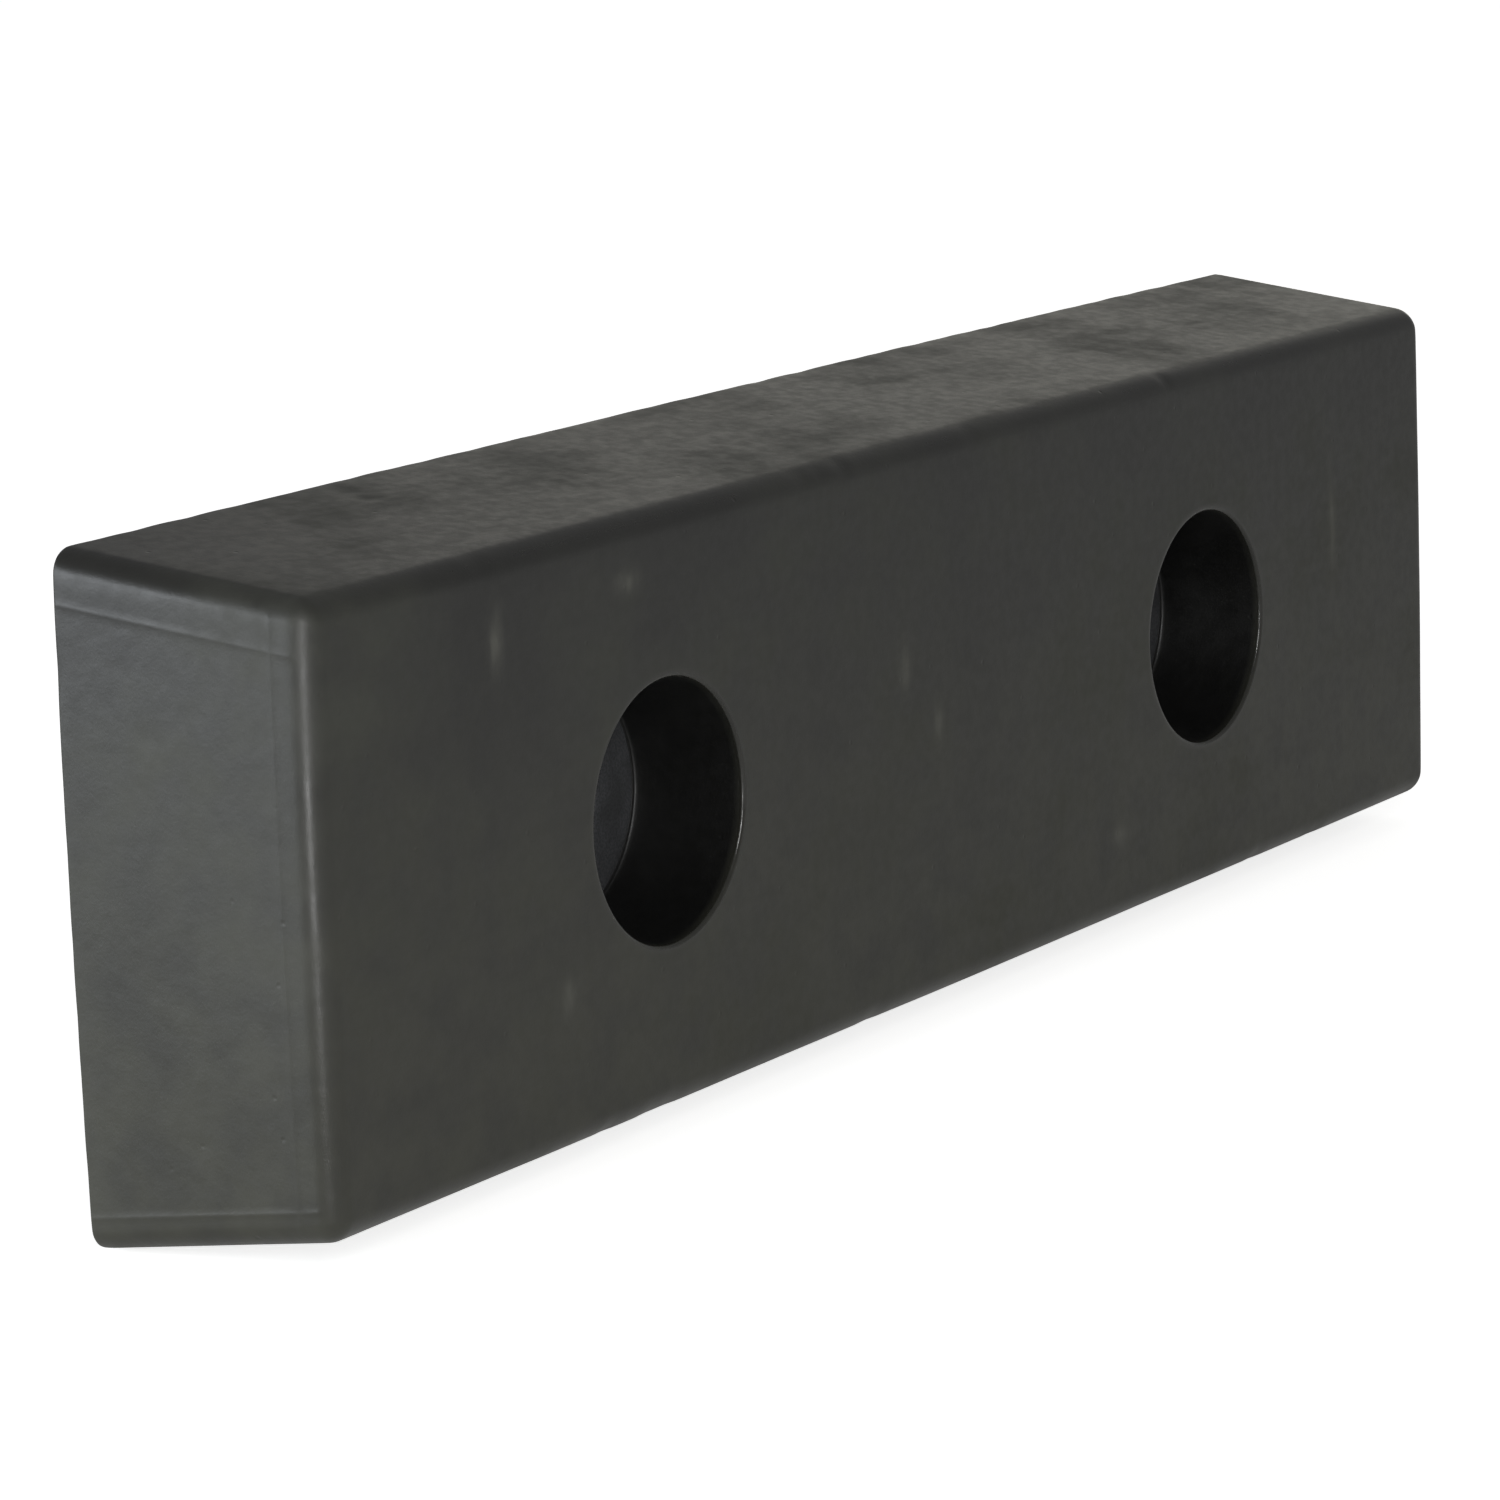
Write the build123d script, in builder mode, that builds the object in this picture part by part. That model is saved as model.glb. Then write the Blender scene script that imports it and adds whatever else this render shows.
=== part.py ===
"""Moulded rubber dock bumper: a tapered rubber block with two fixing washers moulded into it.

Frame, in millimetres: X runs along the block, Y out of its mounting face, Z up. The origin is the middle of
the mounting face, so the block lies on the -Y side of it and its front face looks along -Y.
"""

import os

from build123d import *

# Rubber block. It is largest at its mounting face, and all four of its sides lean in towards the front.
LENGTH = 384.0
HEIGHT = 113.0
THICKNESS = 47.5
END_TAPER = 2.5             # how far each end leans in
SIDE_TAPER = 6.25           # how far the top and the bottom each lean in
EDGE_ROUND = 4.5            # front edges, and the four edges that run back from its corners

# Holes. A bolt head and its socket go into the wide pocket, and the shank through the narrow hole.
HOLE_SPACING = 187.0
POCKET_DIAMETER = 44.5
POCKET_TAPER = 1.25         # how far the pocket's wall leans in, from its mouth to its floor
POCKET_DEPTH = 21.5
POCKET_RIM_ROUND = 0.8
BOLT_HOLE_DIAMETER = 18.0   # clearance for a 16 mm bolt

# Fixing washers. Their front faces are the floors of the pockets, and the rubber grips their rims.
WASHER_THICKNESS = 4.0
WASHER_RIM_GRIP = 5.0       # how far a washer reaches into the rubber all round its pocket
WASHER_EDGE_BREAK = 0.4

FRONT_LENGTH = LENGTH - 2 * END_TAPER
FRONT_HEIGHT = HEIGHT - 2 * SIDE_TAPER
POCKET_FLOOR_DIAMETER = POCKET_DIAMETER - 2 * POCKET_TAPER
WASHER_DIAMETER = POCKET_FLOOR_DIAMETER + 2 * WASHER_RIM_GRIP

# These planes look out of the front, so a positive distance from them is towards a viewer there.
mounting_plane = Plane.XZ
front_plane = mounting_plane.offset(THICKNESS)
floor_plane = front_plane.offset(-POCKET_DEPTH)

os.makedirs("parts", exist_ok=True)


# %% Fixing washers: flat steel rings with broken outer edges
def make_washer(x):
    """Makes the washer at this place along the block, with its front face on the pocket floor."""
    centre = floor_plane.from_local_coords((x, 0, 0))
    face_plane = Plane(centre, x_dir=floor_plane.x_dir, z_dir=floor_plane.z_dir)
    with BuildPart() as washer:
        with BuildSketch(face_plane):
            Circle(WASHER_DIAMETER / 2)
            Circle(BOLT_HOLE_DIAMETER / 2, mode=Mode.SUBTRACT)
        extrude(amount=-WASHER_THICKNESS)
        outer_edges = washer.edges().filter_by(GeomType.CIRCLE).group_by(SortBy.RADIUS)[-1]
        chamfer(outer_edges, length=WASHER_EDGE_BREAK)
    return washer


left_washer = make_washer(-HOLE_SPACING / 2)
left_washer.part.label = "left_washer"
export_step(left_washer.part, "parts/left_washer.step")

right_washer = make_washer(HOLE_SPACING / 2)
right_washer.part.label = "right_washer"
export_step(right_washer.part, "parts/right_washer.step")

# %% Rubber block: one moulding that narrows from the mounting face to the front face
with BuildPart() as rubber_block:
    with BuildSketch(mounting_plane):
        Rectangle(LENGTH, HEIGHT)
    with BuildSketch(front_plane):
        Rectangle(FRONT_LENGTH, FRONT_HEIGHT)
    loft(ruled=True)

    # The mould rounds every edge, apart from the four round the mounting face.
    mounting_face = rubber_block.faces().sort_by(Axis.Y)[-1]
    fillet(rubber_block.edges() - mounting_face.edges(), radius=EDGE_ROUND)

    # A pocket with a slight taper for the bolt head, then the hole for its shank.
    with Locations(front_plane):
        with GridLocations(HOLE_SPACING, HOLE_SPACING, 2, 1):
            Cone(
                bottom_radius=POCKET_FLOOR_DIAMETER / 2,
                top_radius=POCKET_DIAMETER / 2,
                height=POCKET_DEPTH,
                align=(Align.CENTER, Align.CENTER, Align.MAX),
                mode=Mode.SUBTRACT,
            )
            Hole(BOLT_HOLE_DIAMETER / 2)
    front_face = rubber_block.faces().sort_by(Axis.Y)[0]
    fillet(front_face.inner_wires().edges(), radius=POCKET_RIM_ROUND)

    # The rubber flowed round the washers, so it fills all the space that they leave.
    add(left_washer.part, mode=Mode.SUBTRACT)
    add(right_washer.part, mode=Mode.SUBTRACT)

rubber_block.part.label = "rubber_block"
export_step(rubber_block.part, "parts/rubber_block.step")
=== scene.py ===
# %% [markdown]
# # A moulded rubber dock bumper
# The object is a black rubber block that is bolted to a loading bay, so that a reversing lorry meets rubber
# and not concrete. It is one compression moulding, with two steel washers moulded in at the floors of its
# bolt pockets. The CAD model gives the right sizes, but its faces are perfectly flat and its edges
# perfectly even. Here the block gets a finer mesh with the small faults of a real moulding, and a rubber
# that shows how it was made and handled.
#
# The first cell loads the CAD model. Everything below takes its place from it.

# %% Load the CAD model
import math
import random

import bmesh
import bpy
from mathutils import Matrix, Vector, noise
from mathutils.kdtree import KDTree


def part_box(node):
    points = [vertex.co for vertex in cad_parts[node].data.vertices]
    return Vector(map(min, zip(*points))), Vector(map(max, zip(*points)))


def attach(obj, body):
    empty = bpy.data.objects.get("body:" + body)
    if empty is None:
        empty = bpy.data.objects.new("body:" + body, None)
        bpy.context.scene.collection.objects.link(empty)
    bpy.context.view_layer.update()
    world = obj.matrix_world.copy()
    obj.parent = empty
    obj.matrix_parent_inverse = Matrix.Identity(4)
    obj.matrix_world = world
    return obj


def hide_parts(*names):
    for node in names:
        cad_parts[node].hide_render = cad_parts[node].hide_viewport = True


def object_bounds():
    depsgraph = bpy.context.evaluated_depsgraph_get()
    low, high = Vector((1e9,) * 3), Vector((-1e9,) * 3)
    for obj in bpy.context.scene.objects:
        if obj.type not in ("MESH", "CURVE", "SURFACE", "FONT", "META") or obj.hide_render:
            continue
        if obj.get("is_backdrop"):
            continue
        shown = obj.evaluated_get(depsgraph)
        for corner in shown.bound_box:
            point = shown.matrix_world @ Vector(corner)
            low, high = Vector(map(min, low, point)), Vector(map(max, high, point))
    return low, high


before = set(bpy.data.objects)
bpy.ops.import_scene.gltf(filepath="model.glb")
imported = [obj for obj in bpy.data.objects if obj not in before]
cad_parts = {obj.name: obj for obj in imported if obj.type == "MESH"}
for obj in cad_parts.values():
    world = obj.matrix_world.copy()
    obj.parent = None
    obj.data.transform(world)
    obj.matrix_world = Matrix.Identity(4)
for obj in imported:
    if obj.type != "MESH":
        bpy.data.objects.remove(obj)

cad_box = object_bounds()
print("CAD box, in metres:", [[round(v, 4) for v in corner] for corner in cad_box])

# %% [markdown]
# ## The sizes
# The block is largest at its mounting face, which is the plane y = 0, and all four sides lean in towards
# the front. That taper lets the block drop out of its mould. The overall sizes and the washers' places come
# from the CAD model, and the rest are the sizes that the mould was cut to.

# %% Sizes of the block and its holes
MM = 0.001
low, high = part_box("rubber_block")
LENGTH, THICKNESS, HEIGHT = high - low
END_TAPER = 2.5 * MM
SIDE_TAPER = 6.25 * MM
EDGE_ROUND = 4.5 * MM

washer_low, washer_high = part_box("right_washer")
HOLE_X = (washer_low.x + washer_high.x) / 2
WASHER_RADIUS = (washer_high.x - washer_low.x) / 2
WASHER_FRONT = washer_low.y
WASHER_BACK = washer_high.y
POCKET_RADIUS = 22.25 * MM
POCKET_FLOOR_RADIUS = 21.0 * MM
RIM_ROUND = 0.8 * MM
BOLT_HOLE_RADIUS = 9.0 * MM
print(f"block {LENGTH / MM:.1f} x {THICKNESS / MM:.1f} x {HEIGHT / MM:.1f} mm")
print(f"hole axes {HOLE_X / MM:.1f} mm from the middle")

# %% [markdown]
# ## The camera
# The block is seen from its front left corner and a little from above, through a long lens. A long lens
# stands well back, so the far end of the block looks only a little smaller than the near end.

# %% Camera
CAMERA_PLACE = Vector((-856.4, -559.0, 190.0)) * MM
CAMERA_YAW = math.radians(56.99)     # turned from +Y towards +X
CAMERA_PITCH = math.radians(11.10)   # looking down
CAMERA_ROLL = math.radians(-2.06)
CAMERA_LENS = 136.5

camera = bpy.data.objects.new("camera", bpy.data.cameras.new("camera"))
bpy.context.scene.collection.objects.link(camera)
aim = Matrix.Rotation(-CAMERA_YAW, 4, "Z") @ Matrix.Rotation(math.radians(90) - CAMERA_PITCH, 4, "X")
camera.matrix_world = Matrix.Translation(CAMERA_PLACE) @ aim @ Matrix.Rotation(CAMERA_ROLL, 4, "Z")
camera.data.lens = CAMERA_LENS
camera.data.clip_start = 0.05
bpy.context.scene.camera = camera
print("camera at", [round(v, 3) for v in CAMERA_PLACE])

# %% [markdown]
# ## The block, first as a grid
# The block has flat faces, round edges and two stepped holes. A boolean cut would leave long thin faces
# round the holes, and they would show as creases once the surface is made uneven. So the mesh is laid out
# instead, all in four-sided faces: a grid over each face of a box, with a square patch left open
# round each hole, and rings that turn from that square into the hole's circle. The edges are rounded by a
# formula afterwards.
#
# The grid's lines are close together where the edges will be round, and the hole patches fall between
# lines.

# %% Grid lines along the block, up it and into it
GRID = 2.6 * MM              # size of a usual grid square; a subdivision halves it later
PATCH = 30.0 * MM            # half the width of the square round each hole
PATCH_STEPS = 24             # grid squares along each side of it
ROUND_STEPS = 6              # grid squares over half of a rounded edge
BACK_BREAK = 0.4 * MM        # the trimmed edge round the mounting face
LINE_FROM_TOP = 8.7 * MM     # fine raised lines on the end faces get grid lines of their own
LINE_FROM_BOTTOM = 6.0 * MM
LINE_FROM_FRONT = 7.3 * MM
LINE_GRID = 0.5 * MM


def steps(start, stop, count):
    """Returns evenly spaced places from start to stop, without start itself."""
    return [start + (stop - start) * i / count for i in range(1, count + 1)]


def grid_steps(start, stop):
    return steps(start, stop, max(1, round((stop - start) / GRID)))


def round_steps(start):
    """Returns the places on a rounded edge, closer at first, so that they space evenly round the arc."""
    angles = steps(0, math.pi / 4, ROUND_STEPS)
    return [start + EDGE_ROUND * math.tan(angle) for angle in angles]


def both_sides(half):
    return sorted([-place for place in half] + [0.0] + half)


def around(place):
    return [place - LINE_GRID, place, place + LINE_GRID]


flat_end = LENGTH / 2 - EDGE_ROUND
flat_top = HEIGHT / 2 - EDGE_ROUND
half_x = grid_steps(0, HOLE_X - PATCH) + steps(HOLE_X - PATCH, HOLE_X + PATCH, PATCH_STEPS)
half_x += grid_steps(HOLE_X + PATCH, flat_end) + round_steps(flat_end)
LINE_TOP = HEIGHT / 2 - LINE_FROM_TOP
LINE_BOTTOM = HEIGHT / 2 - LINE_FROM_BOTTOM
half_z = steps(0, PATCH, PATCH_STEPS // 2) + grid_steps(PATCH, LINE_TOP - LINE_GRID)[:-1] + around(LINE_TOP)
half_z += grid_steps(LINE_TOP + LINE_GRID, LINE_BOTTOM - LINE_GRID)[:-1] + around(LINE_BOTTOM)
half_z += round_steps(flat_top)
lines_x = both_sides(half_x)
lines_z = both_sides(half_z)
line_depth = THICKNESS - LINE_FROM_FRONT
depths = [0.0, BACK_BREAK, 2 * BACK_BREAK] + grid_steps(2 * BACK_BREAK, line_depth - LINE_GRID)[:-1]
depths += around(line_depth) + grid_steps(line_depth + LINE_GRID, THICKNESS - EDGE_ROUND)
depths += round_steps(THICKNESS - EDGE_ROUND)
lines_y = [-depth for depth in depths]
print(len(lines_x), "lines along the block,", len(lines_z), "up it and", len(lines_y), "into it")

# %% Six sheets of grid make the box
bm = bmesh.new()


def over_hole(x, z):
    return abs(z) < PATCH and abs(abs(x) - HOLE_X) < PATCH


def add_sheet(rows, columns, place, leave_out=None):
    """Adds a sheet of four-sided faces. place turns a row and a column into a point."""
    table = [[bm.verts.new(place(row, column)) for column in columns] for row in rows]
    for i in range(len(rows) - 1):
        for j in range(len(columns) - 1):
            middle = (rows[i] + rows[i + 1]) / 2, (columns[j] + columns[j + 1]) / 2
            if leave_out is None or not leave_out(*middle):
                bm.faces.new((table[i][j], table[i + 1][j], table[i + 1][j + 1], table[i][j + 1]))


for y in (lines_y[0], lines_y[-1]):
    add_sheet(lines_x, lines_z, lambda x, z: (x, y, z), over_hole)
for z in (lines_z[0], lines_z[-1]):
    add_sheet(lines_x, lines_y, lambda x, y: (x, y, z))
for x in (lines_x[0], lines_x[-1]):
    add_sheet(lines_y, lines_z, lambda y, z: (x, y, z))
bmesh.ops.delete(bm, geom=[v for v in bm.verts if not v.link_faces], context="VERTS")
print(len(bm.faces), "faces in the box")

# %% [markdown]
# ## The holes
# Each hole is a lathe shape: a list of steps, each a radius and a depth, swept round the hole's axis. From
# the front it has a small round on its rim, the slightly tapered pocket wall, a thin skin of rubber that
# crept over the washer's edge, the seat that grips the washer, and the narrow hole for the bolt's shank. A
# subdivision rounds every corner that has no close neighbours, so each sharp corner of the outline gets a
# point on either side of it.

# %% Outline of a hole, from the front face to the mounting face
SKIN_WIDTH = 0.7 * MM        # rubber skin over the edge of the washer
SKIN_THICKNESS = 0.12 * MM
WALL_FOOT = 0.1 * MM         # the pocket wall ends this far outside the skin's foot
CORNER = 0.12 * MM           # keeps a corner sharp through the subdivision
BACK_CORNER = 0.2 * MM       # the same, for the bolt hole's edge in the mounting face
RIM_STEPS = 5
WALL_STEPS = 8

rim = []
for angle in steps(0, math.pi / 2, RIM_STEPS):
    across = RIM_ROUND * math.sin(angle)
    into = RIM_ROUND * (1 - math.cos(angle))
    rim.append((POCKET_RADIUS + RIM_ROUND - across, -THICKNESS + into))

skin_top = WASHER_FRONT - SKIN_THICKNESS
corners = [
    (POCKET_FLOOR_RADIUS + WALL_FOOT, WASHER_FRONT - SKIN_WIDTH),
    (POCKET_FLOOR_RADIUS - 0.3 * SKIN_WIDTH, WASHER_FRONT - 0.35 * SKIN_WIDTH),
    (POCKET_FLOOR_RADIUS - SKIN_WIDTH, skin_top),
    (POCKET_FLOOR_RADIUS - SKIN_WIDTH, WASHER_FRONT),
    (WASHER_RADIUS, WASHER_FRONT),
    (WASHER_RADIUS, WASHER_BACK),
    (BOLT_HOLE_RADIUS, WASHER_BACK),
    (BOLT_HOLE_RADIUS, -BACK_CORNER),
    (BOLT_HOLE_RADIUS, 0.0),
]


def sharpened(outline):
    """Returns the outline with a point close to each corner on both sides of it."""
    points = [Vector(point) for point in outline]
    result = points[:1]
    for before, corner, after in zip(points, points[1:], points[2:]):
        result.append(corner + (before - corner).normalized() * CORNER)
        result.append(corner)
        result.append(corner + (after - corner).normalized() * CORNER)
    return result + points[-1:]


wall = [Vector(rim[-1]).lerp(Vector(corners[0]), i / WALL_STEPS) for i in range(1, WALL_STEPS)]
hole_outline = [Vector(point) for point in rim] + wall + sharpened(corners)
print(len(hole_outline), "rings down each hole")

# %% Rings of vertices, and the faces between them
RING_POINTS = 4 * PATCH_STEPS
BLEND_RINGS = 5              # rings that turn a square into a circle
BOLT_HOLE_RINGS = (0.2, 1.5, 4.0, 7.0)   # round rings in the back, this many millimetres outside the bolt hole


def square_point(i):
    """Returns point i of the ring round a square with a half-width of 1, from its lower right corner."""
    side, step = divmod(i, PATCH_STEPS)
    along = 2 * step / PATCH_STEPS - 1
    return (Vector((1, along)), Vector((-along, 1)), Vector((-1, -along)), Vector((along, -1)))[side]


def circle_point(i):
    """Returns point i of a ring with a radius of 1, which matches point i of the square."""
    angle = 2 * math.pi * i / RING_POINTS - math.pi / 4
    return Vector((math.cos(angle), math.sin(angle)))


def add_ring(centre_x, y, radius, squareness=0.0):
    ring = []
    for i in range(RING_POINTS):
        x, z = (circle_point(i) * radius).lerp(square_point(i) * PATCH, squareness)
        ring.append(bm.verts.new((centre_x + x, y, z)))
    return ring


def add_hole(centre_x):
    """Adds the surface of one hole, from the square in the front face to the square in the mounting face."""
    front_radius = POCKET_RADIUS + RIM_ROUND
    around_bolt = [BOLT_HOLE_RADIUS + extra * MM for extra in BOLT_HOLE_RINGS]
    blend = [i / BLEND_RINGS for i in range(BLEND_RINGS + 1)]
    rings = [add_ring(centre_x, -THICKNESS, front_radius, 1 - share) for share in blend]
    rings += [add_ring(centre_x, y, radius) for radius, y in hole_outline]
    rings += [add_ring(centre_x, 0.0, radius) for radius in around_bolt]
    rings += [add_ring(centre_x, 0.0, around_bolt[-1], share) for share in blend[1:]]
    for one, other in zip(rings, rings[1:]):
        for i in range(RING_POINTS):
            bm.faces.new((one[i - 1], one[i], other[i], other[i - 1]))


add_hole(-HOLE_X)
add_hole(HOLE_X)
SAME_PLACE = 0.001 * MM
bmesh.ops.remove_doubles(bm, verts=bm.verts, dist=SAME_PLACE)
open_edges = sum(1 for edge in bm.edges if len(edge.link_faces) != 2)
print(len(bm.faces), "faces with the holes, open edges:", open_edges)

# %% [markdown]
# ## Round edges and taper
# A round edge is the box pulled in: each point near an edge goes to the nearest point of a slightly smaller
# box, and then out again by the edge's radius. The mounting face has no rounding, because that is where the
# rubber was level with the open side of the mould. The taper is a shear: the further forward a point is,
# the further in it moves. It fades out before the holes, which run straight through.

# %% Round the edges, then lean the sides in
NO_DISTANCE = 1e-9


def rounded(point):
    """Moves a point of the square box onto the box with round edges."""
    inner = Vector((
        max(-flat_end, min(flat_end, point.x)),
        max(point.y, EDGE_ROUND - THICKNESS),
        max(-flat_top, min(flat_top, point.z)),
    ))
    out = point - inner
    reach = max(abs(out.x), abs(out.y), abs(out.z))
    if reach < NO_DISTANCE:
        return point.copy()
    if point.y > -BACK_BREAK / 2:
        reach *= 1 - BACK_BREAK / EDGE_ROUND
    return inner + out.normalized() * reach


def ramp(value, start, stop):
    """Returns 0 at start and before it, 1 at stop and beyond it, and an even climb between them."""
    return max(0.0, min(1.0, (value - start) / (stop - start)))


def tapered(point):
    """Leans the four sides in towards the front."""
    forward = -point.y / THICKNESS
    in_x = END_TAPER * forward * ramp(abs(point.x), HOLE_X + PATCH, flat_end)
    in_z = SIDE_TAPER * forward * ramp(abs(point.z), PATCH, LINE_TOP)
    return point - Vector((math.copysign(in_x, point.x), 0, math.copysign(in_z, point.z)))


for vertex in bm.verts:
    if not over_hole(vertex.co.x, vertex.co.z):
        vertex.co = tapered(rounded(vertex.co))
bmesh.ops.recalc_face_normals(bm, faces=bm.faces)
if bm.calc_volume(signed=True) < 0:
    bmesh.ops.reverse_faces(bm, faces=bm.faces)
print(f"the block holds {bm.calc_volume(signed=True) / MM ** 3 / 1000:.0f} ml of rubber")

block_mesh = bpy.data.meshes.new("block")
bm.to_mesh(block_mesh)
bm.free()
block = bpy.data.objects.new("block", block_mesh)
bpy.context.scene.collection.objects.link(block)
print("block mesh:", [round(v / MM, 2) for v in block.dimensions], "mm")

# %% Subdivide once, which also softens the hard corners
def apply_modifiers(piece):
    """Replaces a piece's mesh with what its modifiers make of it."""
    seen = piece.evaluated_get(bpy.context.evaluated_depsgraph_get())
    finished = bpy.data.meshes.new_from_object(seen)
    piece.modifiers.clear()
    piece.data = finished


subdivision = block.modifiers.new("finer", "SUBSURF")
subdivision.levels = 1
apply_modifiers(block)
block.data.shade_smooth()
print(len(block.data.polygons), "faces after the subdivision")

# %% [markdown]
# ## The small faults of a moulding
# Hot rubber shrinks unevenly as it cools, so no face is quite flat, the ends bow, and the long edges sag a
# little towards their ends. The mould's end plates leave a fine raised line on each end. The flash round
# the mounting face is cut off by hand with a knife, which leaves that edge slightly ragged and has taken
# the tip off one corner.
#
# Each fault moves the mesh's points, so it changes the outline as well as the shading. A point only ever
# moves inwards, so that the block never grows out of its real size. The holes are left alone, since a
# turned steel pin formed each of them. The noise is always the same, because it depends only on the place.

# %% Hollows, ripples and the mould's raised lines
WAVE_DEPTH = 0.14 * MM       # long hollows, about a hand's width apart
WAVE_LENGTH = 75 * MM
RIPPLE_DEPTH = 0.04 * MM     # small hollows, about a thumb's width apart
RIPPLE_LENGTH = 17 * MM
WAVE_CONTRAST = 1.4
LINE_HEIGHT = 0.09 * MM      # raised line from the mould's end plates
LINE_HALF_WIDTH = 0.7 * MM
HOLE_EDGE = POCKET_RADIUS + 1.2 * MM     # no fault moves a point nearer to a hole's axis than this
OPEN_RUBBER = POCKET_RADIUS + 12 * MM    # and beyond this the hollows have their full depth
END_FACING = (0.9, 0.97)     # a point is on an end face when its direction has this much x in it


def wave(point, length, seed):
    """Returns smooth noise from 0 to 1 with this wavelength."""
    height = WAVE_CONTRAST * noise.noise(point / length + Vector((seed, 0, 0)))
    return 0.5 + 0.5 * max(-1.0, min(1.0, height))


def from_hole_axis(point):
    return math.hypot(abs(point.x) - HOLE_X, point.z)


def end_line(point):
    """Returns 1 on the raised lines of an end face, and 0 away from them."""
    inset = SIDE_TAPER * -point.y / THICKNESS
    from_top = abs(point.z - (HEIGHT / 2 - inset - LINE_FROM_TOP))
    from_bottom = abs(point.z + (HEIGHT / 2 - inset - LINE_FROM_BOTTOM))
    from_front = abs(point.y + THICKNESS - LINE_FROM_FRONT)
    nearest = min(from_top, from_bottom, from_front)
    return 1 - ramp(nearest, 0, LINE_HALF_WIDTH)


def hollow(point, normal):
    """Returns how far a point of the block moves in, along its normal."""
    calm = ramp(from_hole_axis(point), HOLE_EDGE, OPEN_RUBBER)
    depth = WAVE_DEPTH * wave(point, WAVE_LENGTH, 3) + RIPPLE_DEPTH * wave(point, RIPPLE_LENGTH, 7)
    depth += LINE_HEIGHT * (1 - end_line(point) * ramp(abs(normal.x), *END_FACING))
    return depth * calm


corner = Vector((LENGTH / 2, -THICKNESS, HEIGHT / 2))
print(f"the front corner lies {hollow(corner, corner.normalized()) / MM:.2f} mm deep")

# %% Sagging edges, a knife-trimmed back edge and a cut corner
SAG = 0.2 * MM               # how much the long edges drop from the middle to the ends
BOW = 0.7 * MM               # how much the ends curve in towards the top and the bottom
TRIM_DEPTH = 0.22 * MM       # deepest knife marks in the back edge
TRIM_REACH = 2.0 * MM        # how far forward they reach
TRIM_FROM = 2.5 * MM         # they begin this far in from the block's sides
TRIM_FULL = 0.5 * MM         # and are at their deepest this far in
KNIFE_NICK = 7 * MM          # distance between short nicks, and between long drifts of the knife
KNIFE_DRIFT = 31 * MM
CUT_SIZE = 2.6 * MM          # tip taken off the lower left back corner


def sagged(point):
    """Drops the long edges towards their ends, and curves the ends in towards the top and the bottom."""
    along = abs(point.x) / (LENGTH / 2)
    up = abs(point.z) / (HEIGHT / 2)
    in_z = SAG * along ** 2 * ramp(abs(point.z), PATCH, LINE_TOP)
    in_x = BOW * up ** 2 * ramp(abs(point.x), HOLE_X + PATCH, flat_end)
    return point - Vector((math.copysign(in_x, point.x), 0, math.copysign(in_z, point.z)))


def trimmed(point):
    """Roughens the edge of the mounting face, where a knife cut off the flash."""
    reach = 1 - ramp(-point.y, 0, TRIM_REACH)
    side_x = ramp(abs(point.x), LENGTH / 2 - TRIM_FROM, LENGTH / 2 - TRIM_FULL)
    side_z = ramp(abs(point.z), HEIGHT / 2 - TRIM_FROM, HEIGHT / 2 - TRIM_FULL)
    cut = TRIM_DEPTH * reach * wave(point, KNIFE_NICK, 11) ** 2
    cut += 0.5 * TRIM_DEPTH * reach * wave(point, KNIFE_DRIFT, 13)
    in_x = cut * side_x
    in_z = cut * side_z
    return point - Vector((math.copysign(in_x, point.x), 0, math.copysign(in_z, point.z)))


cut_corner = Vector((-LENGTH / 2, 0, -HEIGHT / 2))
cut_direction = Vector((-1.0, 0.45, -1.0)).normalized()
cut_plane = cut_corner - cut_direction * CUT_SIZE
print(f"the cut takes {CUT_SIZE / MM} mm off the corner, along", [round(v, 2) for v in cut_direction])

# %% Move every point of the block
def directions(piece):
    """Copies every point's outward direction. Blender works them out anew once any point has moved."""
    return [vertex.normal.copy() for vertex in piece.data.vertices]


normals = directions(block)
for vertex in block.data.vertices:
    normal = normals[vertex.index]
    point = vertex.co - normal * hollow(vertex.co, normal)
    if from_hole_axis(point) > HOLE_EDGE:
        point = trimmed(sagged(point))
    beyond = (point - cut_plane).dot(cut_direction)
    if beyond > 0:
        point -= cut_direction * beyond
    vertex.co = point
block.data.update()
print("block is now", [round(v / MM, 2) for v in block.dimensions], "mm")

# %% Choose the dents, mostly where the block's edges have been knocked
DENTS = 20
END_DENTS = DENTS // 4
FRONT_SHARE = 0.6            # share of the dents that lie on the front edges
DENT_RADIUS = (1.6, 3.2)     # smallest and largest, in millimetres
DENT_DEPTH = (0.06, 0.22)
END_DENT_RADIUS = (1.6, 2.6)
END_DENT_DEPTH = (0.04, 0.12)
DENT_REACH = 1.6             # how far a dent's soft edge goes, in dent radii

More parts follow.
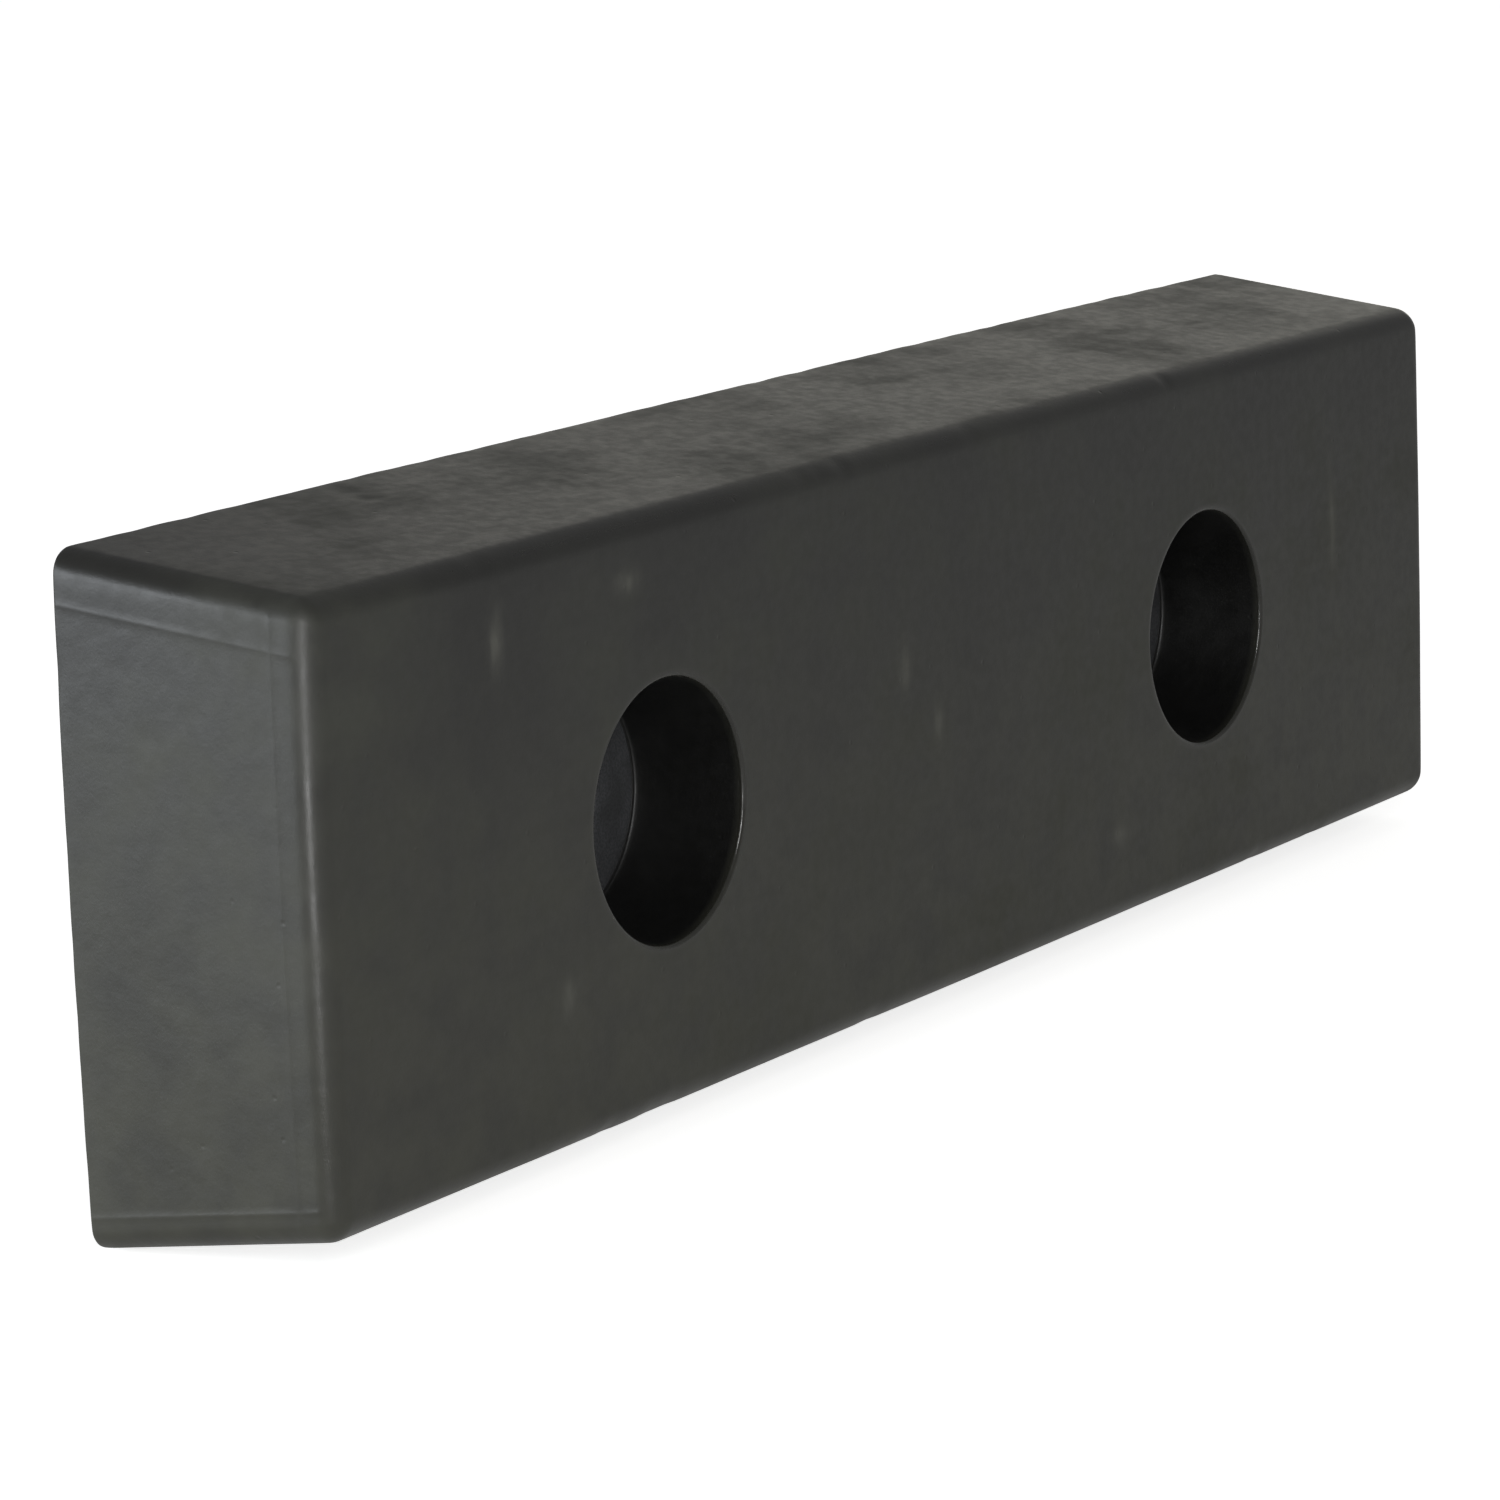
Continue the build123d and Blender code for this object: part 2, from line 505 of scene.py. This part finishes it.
dice = random.Random(21)
front_edge = Vector((0, -THICKNESS + 0.4 * EDGE_ROUND, HEIGHT / 2 - SIDE_TAPER - 0.3 * EDGE_ROUND))
dents = []
for _ in range(DENTS):
    along = dice.uniform(-1, 1) * (LENGTH / 2 - 6 * MM)
    side = dice.choice((-1, 1))
    if dice.random() < FRONT_SHARE:
        place = Vector((along, front_edge.y, side * front_edge.z))
    else:
        place = Vector((along, -THICKNESS * dice.random() ** 2, side * (HEIGHT / 2 - 1.5 * MM)))
    dents.append((place, dice.uniform(*DENT_RADIUS) * MM, dice.uniform(*DENT_DEPTH) * MM))
for _ in range(END_DENTS):
    place = Vector((-LENGTH / 2 + 2 * MM, -THICKNESS * dice.random(), dice.uniform(-0.9, 0.9) * HEIGHT / 2))
    dents.append((place, dice.uniform(*END_DENT_RADIUS) * MM, dice.uniform(*END_DENT_DEPTH) * MM))
print(DENTS, "dents along the edges and", END_DENTS, "on the left end")

# %% Press the dents in
finder = KDTree(len(block.data.vertices))
for vertex in block.data.vertices:
    finder.insert(vertex.co, vertex.index)
finder.balance()
normals = directions(block)
moved = 0
for place, radius, depth in dents:
    for _, index, distance in finder.find_range(place, DENT_REACH * radius):
        press = max(0.0, 1 - (distance / (DENT_REACH * radius)) ** 2)
        block.data.vertices[index].co -= normals[index] * depth * press ** 2
        moved += 1
block.data.update()
print(len(dents), "dents moved", moved, "points")

# %% [markdown]
# ## Where the surface is worn, and where shade is painted
# Wear and scuffs sit in different places on a real block: edges and hole rims are rubbed smooth, and a few
# scuffs cross the front. The insides of the pockets get painted shade: their colour is made darker, to stand
# in for the shade in these deep recesses. The material needs to know where those places are. The mesh can tell
# it, through a number stored at each point: an attribute. The material later breaks the worn and scuffed areas
# up with noise, so that none of them looks painted on.

# %% Store wear, scuffs and painted pocket shade at each point
SCUFFS = (                   # place along the front and up it, half width and half height, in millimetres
    (-141, 36, 1.6, 4.6),
    (-18, 11, 1.5, 3.8),
    (-7, -1, 1.5, 3.2),
    (-125, -25, 1.8, 2.8),
    (-104, 40, 3.0, 1.6),
    (147, 12, 1.3, 9.0),
    (58, -34, 2.4, 1.8),
)
EDGE_WORN = 0.2 * EDGE_ROUND     # an edge is fully worn this near to it
EDGE_FRESH = 0.9 * EDGE_ROUND    # and not worn at all beyond this
RIM_WORN = 0.35 * MM             # the same for the rim of a pocket
RIM_FRESH = 1.1 * MM
BACK_MARGIN = 1 * MM             # the mounting face isn't part of a pocket
FRONT_LAYER = 2 * MM             # scuffs and pocket mouths are this deep


def edge_wear(point):
    """Returns 1 on a rounded edge, falling to 0 at the end of its rounding."""
    forward = -point.y / THICKNESS
    to_end = LENGTH / 2 - END_TAPER * forward - abs(point.x)
    to_side = HEIGHT / 2 - SIDE_TAPER * forward - abs(point.z)
    to_front = THICKNESS + point.y
    near = sorted((max(0.0, to_end), max(0.0, to_side), max(0.0, to_front)))
    return 1 - ramp(math.hypot(near[0], near[1]), EDGE_WORN, EDGE_FRESH)


def rim_wear(point):
    away = abs(from_hole_axis(point) - POCKET_RADIUS - 0.3 * RIM_ROUND)
    into = abs(point.y + THICKNESS - 0.2 * RIM_ROUND)
    return 1 - ramp(math.hypot(away, into), RIM_WORN, RIM_FRESH)


# Painted shade: marks the insides of the pockets, whose colour is made darker to stand in for the shade in
# them.
def painted_pocket_shade(point):
    if point.y > -BACK_MARGIN or from_hole_axis(point) > POCKET_RADIUS + RIM_ROUND:
        return 0.0
    return ramp(point.y, -THICKNESS + 0.3 * MM, -THICKNESS + FRONT_LAYER)


def scuffed(point):
    if point.y > -THICKNESS + FRONT_LAYER:
        return 0.0
    strongest = 0.0
    for x, z, half_width, half_height in SCUFFS:
        across = (point.x / MM - x) / half_width
        up = (point.z / MM - z) / half_height
        strongest = max(strongest, math.exp(-across * across - up * up))
    return strongest


def store(piece, name, rule):
    """Stores what rule gives for each point of a piece, as a named attribute for its material."""
    attribute = piece.data.attributes.new(name, "FLOAT", "POINT")
    for vertex in piece.data.vertices:
        attribute.data[vertex.index].value = rule(vertex.co)


store(block, "edge_wear", edge_wear)
store(block, "rim_wear", rim_wear)
store(block, "scuff", scuffed)
store(block, "pocket", painted_pocket_shade)
print("attributes:", [a.name for a in block.data.attributes if not a.name.startswith(".")])

# %% [markdown]
# ## The fixing washers
# Each washer is punched from steel plate. The punch drags the metal down, which rolls the edge of the hole
# over on the front and leaves a small burr at the back. The plain ring of the CAD model has a sharp edge
# there. A lathe shape is the natural way to make it: one outline, swept round the axis of the hole.

# %% Lathe the washers
ROLLED_EDGE = 0.7 * MM
BURR = 0.15 * MM
RIM_BREAK = 0.4 * MM
WASHER_POINTS = 128
FACE_STEPS = 9               # rings across the front of a washer
ROLL_STEPS = 6               # rings over its rolled edge
SHARP_ANGLE = math.radians(35)

washer_outline = [(WASHER_RADIUS, WASHER_BACK - RIM_BREAK), (WASHER_RADIUS, WASHER_FRONT + RIM_BREAK)]
washer_outline += [(WASHER_RADIUS - RIM_BREAK, WASHER_FRONT)]
rolled_start = BOLT_HOLE_RADIUS + ROLLED_EDGE
for i in range(1, FACE_STEPS):
    washer_outline.append((WASHER_RADIUS + (rolled_start - WASHER_RADIUS) * i / FACE_STEPS, WASHER_FRONT))
for angle in [0.0] + steps(0, math.pi / 2, ROLL_STEPS):
    across = ROLLED_EDGE * math.sin(angle)
    into = ROLLED_EDGE * (1 - math.cos(angle))
    washer_outline.append((rolled_start - across, WASHER_FRONT + into))
washer_outline += [(BOLT_HOLE_RADIUS, WASHER_BACK), (BOLT_HOLE_RADIUS + BURR, WASHER_BACK)]
washer_outline += [(WASHER_RADIUS - RIM_BREAK, WASHER_BACK)]


def make_washer(name, centre_x):
    """Sweeps the outline round a hole's axis, and joins its last ring to its first."""
    shape = bmesh.new()
    rings = []
    for radius, y in washer_outline:
        turns = [2 * math.pi * i / WASHER_POINTS for i in range(WASHER_POINTS)]
        places = [(centre_x + radius * math.cos(turn), y, radius * math.sin(turn)) for turn in turns]
        rings.append([shape.verts.new(place) for place in places])
    for one, other in zip(rings, rings[1:] + rings[:1]):
        for i in range(WASHER_POINTS):
            shape.faces.new((one[i - 1], one[i], other[i], other[i - 1]))
    bmesh.ops.recalc_face_normals(shape, faces=shape.faces)
    mesh = bpy.data.meshes.new(name)
    shape.to_mesh(mesh)
    shape.free()
    mesh.shade_smooth()
    mesh.set_sharp_from_angle(angle=SHARP_ANGLE)
    washer = bpy.data.objects.new(name, mesh)
    bpy.context.scene.collection.objects.link(washer)
    return washer


left_steel = make_washer("left_steel_washer", -HOLE_X)
right_steel = make_washer("right_steel_washer", HOLE_X)
print("washers have", len(left_steel.data.polygons), "faces each")

# %% [markdown]
# ## Tools for the materials
# A material here is a chain of nodes that ends in the shader's sockets. Three small helpers keep the chains
# short to read. One turns a hex colour into the linear numbers that the shader works with. One adds a node,
# sets it up and links its inputs in a single call. One starts a new material. Settings that come back often
# get names.

# %% Colour and node helpers
def colour(code):
    """Turns an sRGB hex colour into linear red, green, blue and alpha."""
    channels = [int(code[i:i + 2], 16) / 255 for i in (1, 3, 5)]
    return [c / 12.92 if c <= 0.04045 else ((c + 0.055) / 1.055) ** 2.4 for c in channels] + [1.0]


def add_node(tree, kind, settings=None, inputs=None, output=0):
    """Adds a node and returns one of its outputs. An input that is itself an output gets linked."""
    node = tree.nodes.new("ShaderNode" + kind)
    for name, value in (settings or {}).items():
        setattr(node, name, value)
    for key, value in (inputs or {}).items():
        if isinstance(value, bpy.types.NodeSocket):
            tree.links.new(value, node.inputs[key])
        else:
            node.inputs[key].default_value = value
    return node.outputs[output]


def new_material(name):
    """Makes an empty material, and returns it with its node tree and its shader."""
    material = bpy.data.materials.new(name)
    material.use_nodes = True
    return material, material.node_tree, material.node_tree.nodes["Principled BSDF"]


MULTIPLY = {"operation": "MULTIPLY"}
ADD = {"operation": "ADD"}
SUBTRACT = {"operation": "SUBTRACT"}
MAXIMUM = {"operation": "MAXIMUM"}
SMOOTH = {"interpolation_type": "SMOOTHSTEP"}   # a range that eases in and out, and clips what lies beyond
COLOUR_MIX = {"data_type": "RGBA"}              # its amount is input 0, its colours 6 and 7, its result 2
NUMBER_MIX = {"data_type": "FLOAT"}             # its amount is input 0, its numbers 2 and 3, its result 0
print("the hex grey #808080 is", round(colour("#808080")[0], 3), "in linear light")

# %% [markdown]
# ## Moulded SBR rubber
# The block is styrene butadiene rubber, black with soot, pressed in a steel mould. Fresh from the mould it
# has a dull sheen that copies the mould's ground surface. With time, wax and chalky additives creep out of
# it and lie as a faint grey bloom in cloudy patches, and handling rubs that bloom off the edges. Dust from
# the ground clings more towards the bottom. The lighter colour towards the bottom is partly that dust and
# partly painted light, standing in for light bounced up from the pale floor. So the colour is nearly black
# with cloudy grey over it, and the roughness follows the same clouds: bloom is duller than clean rubber.
#
# All the patterns are measured in metres in the object's own space, so their sizes are real sizes. Each
# starts at its own place in the noise, so that no two of them match.

# %% Where the rubber's patterns come from
RUBBER_IOR = 1.52
RUBBER_PATTERNS = {          # blob size in mm, its stretch along x, y and z, detail, roughness of that, start
    "clouds": (38.0, (1, 1, 1), 3.0, 0.5, 4.0),
    "mottle": (9.0, (1, 1, 1), 4.0, 0.5, 9.0),
    "streaks": (6.0, (14, 1, 1), 3.0, 0.5, 2.0),
    "fine": (2.5, (1, 1, 1), 3.0, 0.5, 1.0),
    "scratches": (2.2, (1, 1, 3), 3.0, 0.5, 6.0),
    "grain": (0.5, (1, 1, 1), 3.0, 0.6, 5.0),
    "flow": (4.5, (3, 1, 1), 3.0, 0.5, 8.0),
}

rubber, tree, shader = new_material("moulded_sbr_rubber")
place = add_node(tree, "TexCoord", output="Object")
shader.inputs["IOR"].default_value = RUBBER_IOR
patterns = {}
for name, (size, stretch, detail, roughness, start) in RUBBER_PATTERNS.items():
    shift = {"Vector": place, "Location": [start] * 3, "Scale": [1 / length for length in stretch]}
    spot = add_node(tree, "Mapping", inputs=shift)
    blobs = {"Vector": spot, "Scale": 1 / (size * MM), "Detail": detail, "Roughness": roughness}
    patterns[name] = add_node(tree, "TexNoise", inputs=blobs)
print("rubber patterns:", list(patterns))

# %% Bloom: cloudy patches, mottled and streaked
cloudy = add_node(tree, "MapRange", SMOOTH, {
    "Value": patterns["clouds"], "From Min": 0.36, "From Max": 0.66,
})
mottled = add_node(tree, "MapRange", SMOOTH, {
    "Value": patterns["mottle"], "From Min": 0.3, "From Max": 0.75, "To Min": 0.45, "To Max": 1.0,
})
streaked = add_node(tree, "MapRange", SMOOTH, {
    "Value": patterns["streaks"], "From Min": 0.3, "From Max": 0.7, "To Min": 0.6, "To Max": 1.0,
})
bloom = add_node(tree, "Math", MULTIPLY, {0: cloudy, 1: mottled})
bloom = add_node(tree, "Math", MULTIPLY, {0: bloom, 1: streaked})
print("bloom is", bloom.node.bl_label, "of clouds, mottle and streaks")

# %% Dust with painted floor light, wear and scuffs
up = add_node(tree, "SeparateXYZ", inputs={"Vector": place}, output="Z")
# Dust and painted light: the colour grows lighter towards the bottom, partly for dust and partly to stand in
# for light bounced up from the pale floor.
lower = add_node(tree, "MapRange", SMOOTH, {
    "Value": up, "From Min": HEIGHT / 2, "From Max": -HEIGHT / 2, "To Min": 0.0, "To Max": 0.85,
})
dust_and_light_patches = add_node(tree, "MapRange", SMOOTH, {
    "Value": patterns["mottle"], "From Min": 0.25, "From Max": 0.7, "To Min": 0.5, "To Max": 1.0,
})
dust_and_floor_light = add_node(tree, "Math", MULTIPLY, {0: lower, 1: dust_and_light_patches})

edges = add_node(tree, "Attribute", {"attribute_name": "edge_wear"}, output="Fac")
rims = add_node(tree, "Attribute", {"attribute_name": "rim_wear"}, output="Fac")
broken = add_node(tree, "MapRange", SMOOTH, {
    "Value": patterns["fine"], "From Min": 0.3, "From Max": 0.65, "To Min": 0.55, "To Max": 1.0,
})
worn = add_node(tree, "Math", MAXIMUM, {0: edges, 1: rims})
worn = add_node(tree, "Math", MULTIPLY, {0: worn, 1: broken})

scuffs = add_node(tree, "Attribute", {"attribute_name": "scuff"}, output="Fac")
scratched = add_node(tree, "MapRange", SMOOTH, {
    "Value": patterns["scratches"], "From Min": 0.3, "From Max": 0.7, "To Min": 0.3, "To Max": 0.75,
})
scuff_amount = add_node(tree, "Math", MULTIPLY, {0: scuffs, 1: scratched})
# Painted shade: this attribute darkens the colour inside the pockets, standing in for their shade.
pocket_shade_amount = add_node(tree, "Attribute", {"attribute_name": "pocket"}, output="Fac")
print("attributes in use:", [s.node.attribute_name for s in (edges, rims, scuffs, pocket_shade_amount)])

# %% Colour: thin layers over black rubber
RUBBED_SHARE = 0.6           # how much of the rubbed colour shows on a worn edge
rubbed = add_node(tree, "Math", MULTIPLY, {0: worn, 1: RUBBED_SHARE})
layers = (
    (bloom, "#353630"),          # grey bloom
    (dust_and_floor_light, "#38382f"),          # dust, and painted light bounced up from the floor
    (rubbed, "#242421"),         # rubbed edges
    (scuff_amount, "#5c5c55"),   # scuffs
    (pocket_shade_amount, "#0c0c0b"),        # painted shade: darker colour inside the pockets, for the shade that falls there
)
base = colour("#1d1d1b")
for amount, code in layers:
    base = add_node(tree, "Mix", COLOUR_MIX, {0: amount, 6: base, 7: colour(code)}, output=2)
tree.links.new(base, shader.inputs["Base Color"])
print(len(layers), "layers of colour")

# %% Roughness follows the bloom and the wear
CLEAN_ROUGHNESS = 0.43
BLOOM_ROUGHNESS = 0.6
WEAR_POLISH = 0.3            # how much smoother a rubbed edge is
SCUFF_ROUGHNESS = 0.2        # how much rougher a scuff is
UNEVENNESS = 0.03
dull = add_node(tree, "MapRange", SMOOTH, {
    "Value": bloom, "From Min": 0.0, "From Max": 1.0, "To Min": CLEAN_ROUGHNESS, "To Max": BLOOM_ROUGHNESS,
})
polish = add_node(tree, "Math", MULTIPLY, {0: worn, 1: WEAR_POLISH})
dull = add_node(tree, "Math", SUBTRACT, {0: dull, 1: polish})
scuff_dull = add_node(tree, "Math", MULTIPLY, {0: scuff_amount, 1: SCUFF_ROUGHNESS})
dull = add_node(tree, "Math", ADD, {0: dull, 1: scuff_dull})
uneven = add_node(tree, "MapRange", SMOOTH, {
    "Value": patterns["fine"], "From Min": 0.3, "From Max": 0.7, "To Min": -UNEVENNESS, "To Max": UNEVENNESS,
})
dull = add_node(tree, "Math", ADD, {0: dull, 1: uneven})
tree.links.new(dull, shader.inputs["Roughness"])
print("roughness runs from", CLEAN_ROUGHNESS, "where clean to", BLOOM_ROUGHNESS, "where bloomed")

# %% Bump: the mould's ground surface, flow ripples and small pits
# The ground surface of a mould has grit marks about 0.1 mm wide. Here they are 0.5 mm, so that they show.
GRAIN_HEIGHT = 0.04          # these three are shares of BUMP_HEIGHT
FLOW_HEIGHT = 0.22
PIT_DEPTH = 0.1
PIT_SPACING = 7 * MM
PIT_RADIUS = 0.09            # as a share of the spacing
BUMP_HEIGHT = 1.0 * MM
pits = add_node(tree, "TexVoronoi", inputs={"Vector": place, "Scale": 1 / PIT_SPACING})
around_pit = add_node(tree, "MapRange", SMOOTH, {
    "Value": pits, "From Min": 0.0, "From Max": PIT_RADIUS, "To Min": 0.0, "To Max": 1.0,
})
height = add_node(tree, "Math", MULTIPLY, {0: patterns["grain"], 1: GRAIN_HEIGHT})
ripples = add_node(tree, "Math", MULTIPLY, {0: patterns["flow"], 1: FLOW_HEIGHT})
height = add_node(tree, "Math", ADD, {0: height, 1: ripples})
pit_height = add_node(tree, "Math", MULTIPLY, {0: around_pit, 1: PIT_DEPTH})
height = add_node(tree, "Math", ADD, {0: height, 1: pit_height})
bump = add_node(tree, "Bump", inputs={"Strength": 0.55, "Distance": BUMP_HEIGHT, "Height": height})
tree.links.new(bump, shader.inputs["Normal"])
print("rubber has", len(tree.nodes), "nodes")

# %% [markdown]
# ## Phosphated steel
# Before rubber is moulded onto steel, the steel is dipped in a phosphate bath, because rubber sticks to the
# crystals that it grows. They are dark grey and matt, with a slight sparkle. The crystals hide most of the
# bare metal, so the surface is only partly metallic. The mould's pin leaves darker smears of rubber and
# dust where it pressed.

# %% Where the steel's patterns come from
STEEL_METALLIC = 0.35
STEEL_PATTERNS = {           # blob size in mm, detail, start
    "crystals": (0.45, 2.0, 3.0),
    "smears": (8.0, 3.0, 7.0),
}

steel, tree, shader = new_material("phosphated_steel")
place = add_node(tree, "TexCoord", output="Object")
shader.inputs["Metallic"].default_value = STEEL_METALLIC
patterns = {}
for name, (size, detail, start) in STEEL_PATTERNS.items():
    spot = add_node(tree, "Mapping", inputs={"Vector": place, "Location": [start] * 3})
    blobs = {"Vector": spot, "Scale": 1 / (size * MM), "Detail": detail, "Roughness": 0.5}
    patterns[name] = add_node(tree, "TexNoise", inputs=blobs)
print("steel patterns:", list(patterns))

# %% Steel colour, roughness and bump
glints = add_node(tree, "MapRange", SMOOTH, {
    "Value": patterns["crystals"], "From Min": 0.35, "From Max": 0.65,
})
smeared = add_node(tree, "MapRange", SMOOTH, {
    "Value": patterns["smears"], "From Min": 0.45, "From Max": 0.7, "To Min": 0.0, "To Max": 0.6,
})
matt = add_node(tree, "MapRange", SMOOTH, {
    "Value": patterns["smears"], "From Min": 0.3, "From Max": 0.7, "To Min": 0.5, "To Max": 0.68,
})
greys = {0: glints, 6: colour("#404143"), 7: colour("#525355")}
grey = add_node(tree, "Mix", COLOUR_MIX, greys, output=2)
grey = add_node(tree, "Mix", COLOUR_MIX, {0: smeared, 6: grey, 7: colour("#333334")}, output=2)
tree.links.new(grey, shader.inputs["Base Color"])
tree.links.new(matt, shader.inputs["Roughness"])
height = add_node(tree, "Math", MULTIPLY, {0: patterns["crystals"], 1: 0.05})
bump = add_node(tree, "Bump", inputs={"Strength": 0.5, "Distance": BUMP_HEIGHT, "Height": height})
tree.links.new(bump, shader.inputs["Normal"])
print("steel has", len(tree.nodes), "nodes")

# %% [markdown]
# ## Put the finishes on, and attach each piece to its body
# The block and the washers take the places of their CAD solids, which stay behind them, hidden, for the
# physics.

# %% Finishes, bodies and replaced nodes
block.data.materials.append(rubber)
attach(block, "root")
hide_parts("rubber_block")
for washer, node in ((left_steel, "left_washer"), (right_steel, "right_washer")):
    washer.data.materials.append(steel)
    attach(washer, "root")
    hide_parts(node)
for name, finish in (("rubber_block", rubber), ("left_washer", steel), ("right_washer", steel)):
    cad_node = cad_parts[name]
    cad_node.data.materials.clear()
    cad_node.data.materials.append(finish)
print("pieces:", [piece.name for piece in (block, left_steel, right_steel)])

# %% [markdown]
# ## Floor and light
# Black rubber has almost no colour of its own, so what the eye sees is mostly its dull reflection of the
# room. Each face needs something of the right brightness to reflect: a large soft light behind the left
# end, a weaker one behind the right end for the top, a narrow one and a small low card near the front left
# corner for its highlight, and a dim room for the rest. The floor is a pale board. It glows a little, so
# that it looks white, but it glows less in the block's reflections, where a bright floor would turn the
# black rubber grey. The room's backdrop does the same.

# %% Pale floor
FLOOR_HALF = 30.0            # metres, far enough for its edge not to show
FLOOR_GLOW = 0.13
FLOOR_GLOW_SEEN = 0.78       # the extra brightness of a white studio floor
floor_mesh = bpy.data.meshes.new("floor")
shape = bmesh.new()
bmesh.ops.create_grid(shape, x_segments=1, y_segments=1, size=FLOOR_HALF)
shape.to_mesh(floor_mesh)
shape.free()
floor = bpy.data.objects.new("floor", floor_mesh)
floor.location.z = low.z
bpy.context.scene.collection.objects.link(floor)
floor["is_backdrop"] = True

pale_board, tree, shader = new_material("pale_board")
shader.inputs["Base Color"].default_value = colour("#f4f4f2")
shader.inputs["Roughness"].default_value = 0.9
shader.inputs["Specular IOR Level"].default_value = 0.0
shader.inputs["Emission Color"].default_value = colour("#ffffff")
seen = add_node(tree, "LightPath", output="Is Camera Ray")
glow = add_node(tree, "Mix", NUMBER_MIX, {0: seen, 2: FLOOR_GLOW, 3: FLOOR_GLOW_SEEN})
tree.links.new(glow, shader.inputs["Emission Strength"])
floor_mesh.materials.append(pale_board)
print("floor at z =", round(floor.location.z / MM, 1), "mm")

# %% Soft lights
def add_softbox(name, place, target, width, height, power, tint=(1.0, 1.0, 1.0)):
    """Adds a rectangular light that faces a target. Lights don't show to the camera."""
    lamp = bpy.data.lights.new(name, "AREA")
    lamp.shape = "RECTANGLE"
    lamp.size = width
    lamp.size_y = height
    lamp.energy = power
    lamp.color = tint
    softbox = bpy.data.objects.new(name, lamp)
    softbox.location = place
    softbox.rotation_euler = (Vector(target) - Vector(place)).to_track_quat("-Z", "Y").to_euler()
    softbox.visible_camera = False
    bpy.context.scene.collection.objects.link(softbox)
    return softbox


left_end = Vector((-LENGTH / 2, 0, 0))
add_softbox("left_window", (-1.5, 0.95, 0.28), left_end, 1.5, 0.62, 19.0, (0.90, 0.95, 1.0))
add_softbox("far_right_window", (2.1, 0.85, 0.52), (0, 0, 0), 1.3, 0.5, 2.1, (1.0, 0.98, 0.84))
near_corner = Vector((-LENGTH / 2, -THICKNESS, 0))
add_softbox("corner_strip", (-0.95, -0.80, 0.42), near_corner, 0.12, 0.45, 5.0)
low_place = near_corner + Vector((-0.277, -0.205, -0.022))
add_softbox("low_card", low_place, near_corner, 0.05, 0.06, 0.22)
print("lights:", [lamp.name for lamp in bpy.data.lights])

# %% Dim room, with a white backdrop behind the block
ROOM_BELOW = 0.5
ROOM_ABOVE = 0.25
BACKDROP = 1.0
world = bpy.data.worlds.new("studio")
bpy.context.scene.world = world
world.use_nodes = True
tree = world.node_tree
background = tree.nodes["Background"]
direction = add_node(tree, "TexCoord", output="Generated")
upwards = add_node(tree, "SeparateXYZ", inputs={"Vector": direction}, output="Z")
room = add_node(tree, "MapRange", SMOOTH, {
    "Value": upwards, "From Min": -0.3, "From Max": 0.4, "To Min": ROOM_BELOW, "To Max": ROOM_ABOVE,
})
seen = add_node(tree, "LightPath", output="Is Camera Ray")
lit = add_node(tree, "Mix", NUMBER_MIX, {0: seen, 2: room, 3: BACKDROP})
tree.links.new(lit, background.inputs["Strength"])
background.inputs["Color"].default_value = (1.0, 1.0, 1.0, 1.0)
bpy.context.scene.view_settings.view_transform = "Standard"
print("room light and backdrop are set")

# %% [markdown]
# ## The size
# The finished block has to stay inside the box that the CAD model gave at the start. Here its own box is
# gathered beside the CAD box and printed.

# %% Gather both boxes, and finish
visual_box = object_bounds()
size = {"cad": [list(corner) for corner in cad_box], "visual": [list(corner) for corner in visual_box]}
print("visual box, in metres:", [[round(v, 4) for v in corner] for corner in visual_box])
